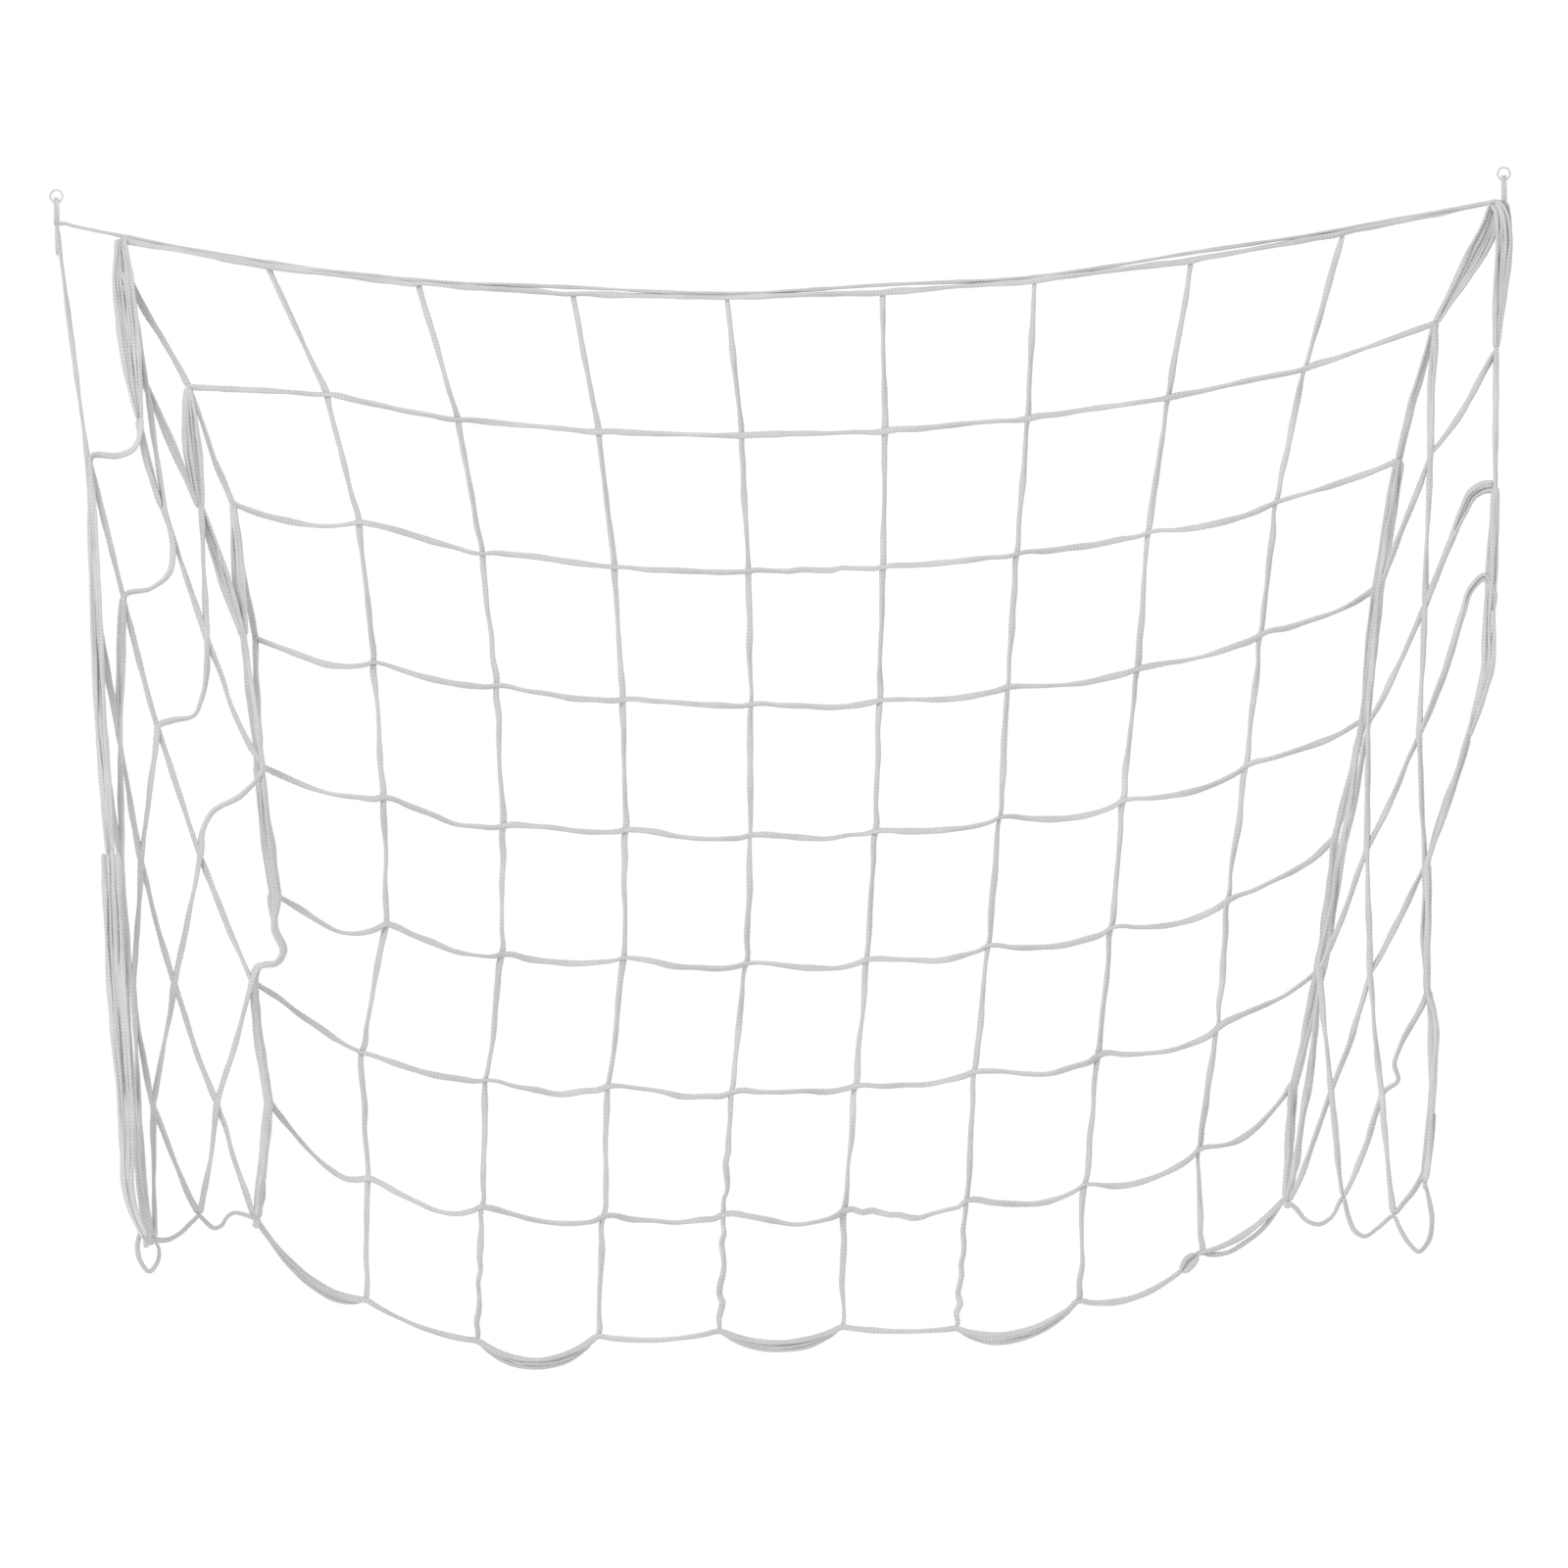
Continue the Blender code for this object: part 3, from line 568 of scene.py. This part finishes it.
def yarn(name, grey, plait):
    """Matt plaited polyester: stitches and filaments from the strand's own length, and soft unevenness. In
    the colour the stitches and filaments also darken the bump's grooves, as painted shade.
    """
    material = bpy.data.materials.new(name)
    material.use_nodes = True
    tree = material.node_tree
    link = tree.links.new
    shader = tree.nodes["Principled BSDF"]
    shader.inputs["Metallic"].default_value = 0.0
    shader.inputs["Sheen Weight"].default_value = 0.30
    shader.inputs["Sheen Roughness"].default_value = 0.45
    shader.inputs["Specular IOR Level"].default_value = 0.30

    def node(kind, **settings):
        made = tree.nodes.new(kind)
        for key, value in settings.items():
            setattr(made, key, value)
        return made

    def math_node(operation, first, second=None):
        made = node("ShaderNodeMath", operation=operation)
        for socket, value in zip(made.inputs, (first, second)):
            if value is None:
                continue
            if isinstance(value, (int, float)):
                socket.default_value = value
            else:
                link(value, socket)
        return made.outputs[0]

    def weighted(parts, weights):  # the sum of the parts, each times its weight
        total = math_node("MULTIPLY", parts[0], weights[0])
        for part, weight in zip(parts[1:], weights[1:]):
            total = math_node("ADD", total, math_node("MULTIPLY", part, weight))
        return total

    where = node("ShaderNodeTexCoord")
    fibre = node("ShaderNodeTexNoise")
    fibre.inputs["Scale"].default_value = 900.0
    fibre.inputs["Detail"].default_value = 3.0
    link(where.outputs["Object"], fibre.inputs["Vector"])

    place = node("ShaderNodeUVMap", uv_map="strand")
    split = node("ShaderNodeSeparateXYZ")
    link(place.outputs["UV"], split.inputs[0])
    around = math_node("MULTIPLY", split.outputs["X"], 2 * math.pi)
    wide = math_node("ABSOLUTE", math_node("COSINE", around))
    along = math_node("MULTIPLY", split.outputs["Y"], 2 * math.pi / plait)
    stitch = math_node("SINE", math_node("SUBTRACT", along, math_node("MULTIPLY", wide, SHADE_SLANT)))
    back = math_node("MULTIPLY", wide, FILAMENTS * SHADE_SLANT)
    lay = math_node("SUBTRACT", math_node("MULTIPLY", along, FILAMENTS), back)
    wander = math_node("MULTIPLY", fibre.outputs["Fac"], FILAMENT_WANDER)
    filament = math_node("SINE", math_node("ADD", lay, wander))

    cloud = node("ShaderNodeTexNoise")
    cloud.inputs["Scale"].default_value = 14.0
    cloud.inputs["Detail"].default_value = 4.0
    cloud.inputs["Roughness"].default_value = 0.6
    link(where.outputs["Object"], cloud.inputs["Vector"])

    # painted shade: the stitch and filament terms darken the colour where the bump sinks into its grooves;
    # the fibre and cloud terms vary the tone at random
    tone_and_groove_shade = weighted((stitch, filament, fibre.outputs["Fac"], cloud.outputs["Fac"]), TONE_AND_GROOVE_SHADE_WEIGHTS)
    ramp = node("ShaderNodeValToRGB")
    ramp.color_ramp.elements[0].position = 0.18
    ramp.color_ramp.elements[0].color = (*[grey * DARKEST] * 3, 1.0)
    ramp.color_ramp.elements[1].position = 0.70
    ramp.color_ramp.elements[1].color = (*[grey * LIGHTEST] * 3, 1.0)
    link(tone_and_groove_shade, ramp.inputs["Fac"])
    link(ramp.outputs["Color"], shader.inputs["Base Color"])

    rough = node("ShaderNodeMapRange")
    rough.inputs["To Min"].default_value = 0.70
    rough.inputs["To Max"].default_value = 0.90
    link(fibre.outputs["Fac"], rough.inputs["Value"])
    link(rough.outputs["Result"], shader.inputs["Roughness"])

    height = weighted((stitch, filament, fibre.outputs["Fac"]), BUMP_WEIGHTS)
    bump = node("ShaderNodeBump")
    bump.inputs["Strength"].default_value = 0.55
    bump.inputs["Distance"].default_value = 0.00035
    link(height, bump.inputs["Height"])
    link(bump.outputs["Normal"], shader.inputs["Normal"])
    return material


# ---------------------------------------------------------------- the net's pieces


def band(node):
    """The strands that lie beside a twine, if it has any."""
    made = []
    for n, (crossings, spacing, count) in enumerate(BANDS.get(node, ())):
        points = []
        for first, second in zip(crossings, crossings[1:]):
            start, end = knot(*first), knot(*second)
            if bend(first, second):
                inner = bend_places(first, second, start, end)
            else:
                inner = [start + (end - start) * t for t in BAND_SHARES]
            points += [start] + inner
        made += side_by_side(np.array(points + [end]), spacing, count, len(node) * NODE_SEED_STEP + n)
    return made


def side_by_side(points, spacing, count, seed):
    """Strands to both sides of a line, so far apart along it."""
    tangents = np.gradient(points, axis=0)
    sides = np.cross(tangents, FRONT)
    sides /= np.linalg.norm(sides, axis=1)[:, None]
    along = np.concatenate([[0], np.cumsum(np.linalg.norm(np.diff(points, axis=0), axis=1))])
    apart = np.interp(along / along[-1], np.linspace(0, 1, len(spacing)), spacing)[:, None]
    made = []
    for k in range(count):
        place = (k // 2 + 1) * (-1) ** k
        line = points + sides * apart * place + FRONT * FOLLOWER_LAYER * (k + 1)
        made.append(strand(line, FOLLOWER, seed + BAND_SEED_STEP * k))
    return made


def foot_line(layer, spans=range(COLUMNS)):
    """Points along the foot of the back panel, layer strands below the first where its strands spread."""
    points = []
    for column in spans:
        start, end = knot(column, ROWS), knot(column + 1, ROWS)
        for t in FOOT_PLACES:
            hang = FOOT_SAGS[column] * math.sin(math.pi * t) ** FOOT_FULLNESS
            spread = FOOT_SPREAD[column] * layer * min(1.0, SPREAD_GAIN * math.sin(math.pi * t))
            behind = (SPREAD_LAYER if FOOT_SPREAD[column] else CLOSE_LAYER) * layer
            points.append(start + (end - start) * t + DOWN * (hang + spread) - FRONT * behind)
    return points + [end]


def build_rows(twine):
    """Each row is one twine through all three panels, cut into the model's three nodes at the corners."""
    for row in range(ROWS + 1):
        crossings = [(c, row) for c in range(row - SIDE, COLUMNS + SIDE - row + 1)]
        if row == ROWS:
            points = foot_line(0)
            marks = [0, len(points) - 1]
        else:
            points, marks = twine_points(crossings, 1, ROW_SLACK * row, -ROW_JOG, SEEDS["row"] + row)
        line, places = smooth(points, marks)
        rings, along = rings_round(line, TWINE, SEEDS["row"] + row)
        first, last = places if row == ROWS else (places[SIDE - row], places[SIDE - row + COLUMNS])
        back = [(rings[first : last + 1], along[first : last + 1])]
        if row == 0:
            back += head_followers()
        if row == ROWS:
            back += foot_followers()
        piece(f"twine_back_row_{row}", back, twine, "net", f"back_row_{row}")
        if row == ROWS:
            continue
        left = [(rings[: first + 1], along[: first + 1])] + band(f"left_row_{row}")
        right = [(rings[last:], along[last:])] + band(f"right_row_{row}")
        piece(f"twine_left_row_{row}", left, twine, "net", f"left_row_{row}")
        piece(f"twine_right_row_{row}", right, twine, "net", f"right_row_{row}")


def head_followers():
    """The border is doubled again along the first two meshes of the head."""
    start, middle, end = knot(0, 0), knot(1, 0), knot(2, 0)
    places = (start, (start + middle) / 2, middle, (middle + end) / 2, end)
    return [strand([place + HEAD_FOLLOWER for place in places], FOLLOWER, SEEDS["head follower"])]


def foot_followers():
    """Every second mesh of the foot carries another strand, and one crossing has a small tangle beside it."""
    made = []
    for column in range(0, COLUMNS - 1, 2):
        made.append(strand(foot_line(1, [column]), FOLLOWER, SEEDS["foot follower"] + column))
    tangle = [np.array([across, knot(COLUMNS - 1, ROWS)[1], -below]) for across, below in LUMP]
    return made + side_by_side(np.array(tangle), TANGLE_SPACING, TANGLE_COUNT, SEEDS["tangle"])


def build_columns(twine):
    """The columns of all three panels."""
    for column in range(COLUMNS + 1):
        crossings = [(column, r) for r in range(ROWS + 1)]
        seed = SEEDS["back column"] + column
        points, _ = twine_points(crossings, -1, COLUMN_SLACK, COLUMN_JOG, seed)
        strands = [strand(points, TWINE, seed)] + band(f"back_column_{column}")
        piece(f"twine_back_column_{column}", strands, twine, "net", f"back_column_{column}")
    for side, label in ((-1, "left"), (1, "right")):
        corner = COLUMNS if side > 0 else 0
        for step in range(1, SIDE):
            column = corner + side * step
            crossings = [(column, r) for r in range(top(column), reach(column) + 1)]
            seed = SEEDS["side column"] + SIDE_SEED_STEP * side + step
            points, _ = twine_points(crossings, -1, COLUMN_SLACK, 0, seed)
            node = f"{label}_column_{step}"
            strands = [strand(points, TWINE, seed)] + band(node)
            piece(f"twine_{node}", strands, twine, "net", node)


def build_gather(twine):
    """The row above the others in the left panel, which falls from the corner in front of them."""
    crossings = [(-step, LEFT_TOP) for step in range(1, SIDE - LEFT_TOP + 1)]
    points, _ = twine_points(crossings, 1, ROW_SLACK, 0, SEEDS["gathered row"])
    start = [knot(0, 0) + place for place in GATHER_START]
    strands = [strand(start + points, TWINE, SEEDS["gathered row"])] + band("left_gathered_row")
    piece("twine_left_gathered_row", strands, twine, "net", "left_gathered_row")


def head_line():
    """Over the left corner, along the head of the back panel, round the right corner and down its edge."""
    points = [ACROSS * -HOOK_X + place for place in HEAD_START]
    for column, lift in enumerate(HEAD_LIFTS):
        points.append(knot(column, 0) + DOWN * -(HEAD_ABOVE + lift) + FRONT * HEAD_LAYER)
    points.append((knot(COLUMNS - 1, 0) + knot(COLUMNS, 0)) / 2 + HEAD_LAST)
    points += [ACROSS * HOOK_X + place for place in HEAD_END]
    return points + [knot(COLUMNS + 1, 0) + HEAD_TAIL]


def build_cords(cord):
    """The edge cords, which run beside the netting and meet at the corners."""
    strands = [strand(head_line(), HEAD_CORD, SEEDS["head cord"])]
    piece("cord_head", strands, cord, "net", "head_cord")
    strands = [strand(foot_line(2), EDGE_CORD, SEEDS["foot cord"])]
    piece("cord_foot", strands, cord, "net", "foot_cord")
    for side, label in ((-1, "left"), (1, "right")):
        corner = COLUMNS if side > 0 else 0
        first, row = (1, RIGHT_TOP) if side > 0 else (3, LEFT_TOP)
        hook = np.array([side * HOOK_X, 0, END_TOP])
        crossings = [(corner + side * s, row) for s in range(first, SIDE - row + 1)]
        places = [knot(*crossings[0])]
        for start, end in zip(crossings, crossings[1:]):
            if bend(start, end):
                places += bend_places(start, end, knot(*start), knot(*end))
            places.append(knot(*end))
        places = [place + END_BESIDE[side] for place in places]
        points = [hook + (places[0] - hook) * t for t in END_SHARES] + places
        strands = [strand(points, EDGE_CORD, SEEDS["end cord"] + side)]
        piece(f"cord_{label}_end", strands, cord, "net", f"{label}_end_cord")
        strands = [strand(side_foot_line(side), EDGE_CORD, SEEDS["side foot cord"] + side)]
        piece(f"cord_{label}_foot", strands, cord, "net", f"{label}_foot_cord")


def side_foot_line(side):
    """The edge cord along a side panel's slanting foot, slack between the crossings that it is tied to."""
    corner, last = (COLUMNS, ROWS - RIGHT_TOP) if side > 0 else (0, ROWS - LEFT_TOP)
    points = []
    for step in range(last):
        first = (corner + side * step, ROWS - step)
        start, end = knot(*first), knot(corner + side * (step + 1), ROWS - step - 1)
        points.append(start + DOWN * TIE_DROP)
        if first in SCALLOPS:
            places = SCALLOPS[first]
            depths = np.linspace(start[1], end[1], len(places) + 2)[1:-1]
            points += [np.array([across, depth, -below]) for (across, below), depth in zip(places, depths)]
        else:
            points.append((start + end) / 2 + DOWN * TIE_SAG)
    return points + [end + DOWN * TIE_DROP]


def build_hanging(cord):
    """At each corner a thin doubled loop on the hook, and the lashing that ties the net's corner into it."""
    for side, label in ((-1, "left"), (1, "right")):
        x = side * HOOK_X
        turns = np.linspace(0, 2 * math.pi, RING_POINTS, endpoint=False)
        loops = []
        for depth in (-LOOP_HALF_GAP, LOOP_HALF_GAP):
            ring = [np.array([x + LOOP_RADIUS * math.sin(a), depth, LOOP_RADIUS - LOOP_RADIUS * math.cos(a)])
                    for a in turns]  # fmt: skip
            loops.append(loop_strand(ring, LOOP, SEEDS["loop"] + side, FRONT))
        piece(f"loop_{label}", loops, cord, "hanging_loops", f"{label}_hanging_loop")
        wraps = []
        for i in range(LASHING_TURNS):
            across = x + (i - 1) * LASHING_STEP
            heights = LASHING_MIDDLE + LASHING_HEIGHT * np.cos(turns)
            ring = [np.array([across, LASHING_DEPTH * math.sin(a), z]) for a, z in zip(turns, heights)]
            wraps.append(loop_strand(ring, LASHING, SEEDS["lashing"] + i + side, ACROSS))
        piece(f"lashing_{label}", wraps, cord, "net", f"{label}_corner_lashing")


# ---------------------------------------------------------------- studio

DISTANCE = 16.0  # a long lens from far off, so that the side panels aren't enlarged
VIEW_WIDTH = 1.76  # what the camera sees across, at the net
VIEW_CENTRE = (-0.006, -0.6654)
VIEW_ROLL = 0.892  # degrees; the right hook is seen above the left one
SENSOR = 36.0
LIGHTS = (  # name, place, power and size
    ("key_light", (-2.6, -4.2, 2.4), 150.0, 2.5),
    ("rim_light", (3.0, 3.0, 1.5), 60.0, 2.0),
)
LIT_PLACE = np.array([0.0, 0.0, -0.65])


def build_camera():
    """The camera, level and square on to the net but for its small roll."""
    data = bpy.data.cameras.new("camera")
    data.sensor_width = SENSOR
    data.lens = SENSOR * DISTANCE / VIEW_WIDTH
    data.clip_end = 100.0
    camera = bpy.data.objects.new("camera", data)
    camera.location = (VIEW_CENTRE[0], -DISTANCE, VIEW_CENTRE[1])
    camera.rotation_euler = (math.radians(90), math.radians(VIEW_ROLL), 0)
    bpy.context.collection.objects.link(camera)
    bpy.context.scene.camera = camera


def build_floor():
    """A plain pale round floor below the net."""
    sides, radius, height = 96, 3.4, -1.75
    turns = np.linspace(0, 2 * math.pi, sides, endpoint=False)
    mesh = bpy.data.meshes.new("floor")
    rim = [(radius * math.cos(a), radius * math.sin(a), height) for a in turns]
    mesh.from_pydata(rim, [], [list(range(sides))])
    material = bpy.data.materials.new("pale_floor")
    material.use_nodes = True
    shader = material.node_tree.nodes["Principled BSDF"]
    shader.inputs["Base Color"].default_value = (0.93, 0.93, 0.93, 1.0)
    shader.inputs["Roughness"].default_value = 0.9
    shader.inputs["Specular IOR Level"].default_value = 0.1
    mesh.materials.append(material)
    floor = bpy.data.objects.new("floor", mesh)
    bpy.context.collection.objects.link(floor)


def build_lights():
    """A white room, and a large soft light from the upper left with a weaker one from the right."""
    world = bpy.data.worlds.new("studio")
    world.use_nodes = True
    background = world.node_tree.nodes["Background"]
    background.inputs["Color"].default_value = (1.0, 1.0, 1.0, 1.0)
    background.inputs["Strength"].default_value = 1.0
    bpy.context.scene.world = world
    for name, place, energy, size in LIGHTS:
        data = bpy.data.lights.new(name, "AREA")
        data.energy = energy
        data.size = size
        light = bpy.data.objects.new(name, data)
        light.location = place
        aim = LIT_PLACE - np.array(place)
        light.rotation_euler = (math.acos(-aim[2] / np.linalg.norm(aim)), 0, math.atan2(-aim[0], aim[1]))
        bpy.context.collection.objects.link(light)
    bpy.context.scene.view_settings.view_transform = "Standard"


def main():
    """Everything: the studio, then the net's pieces in three yarns."""
    build_camera()
    build_floor()
    build_lights()
    # the edge cords get the netting's yarn painted a little darker, as shade
    twine, cord, thin = (yarn(*made_of) for made_of in YARNS)
    build_rows(twine)
    build_columns(twine)
    build_gather(twine)
    build_cords(cord)
    build_hanging(thin)


main()
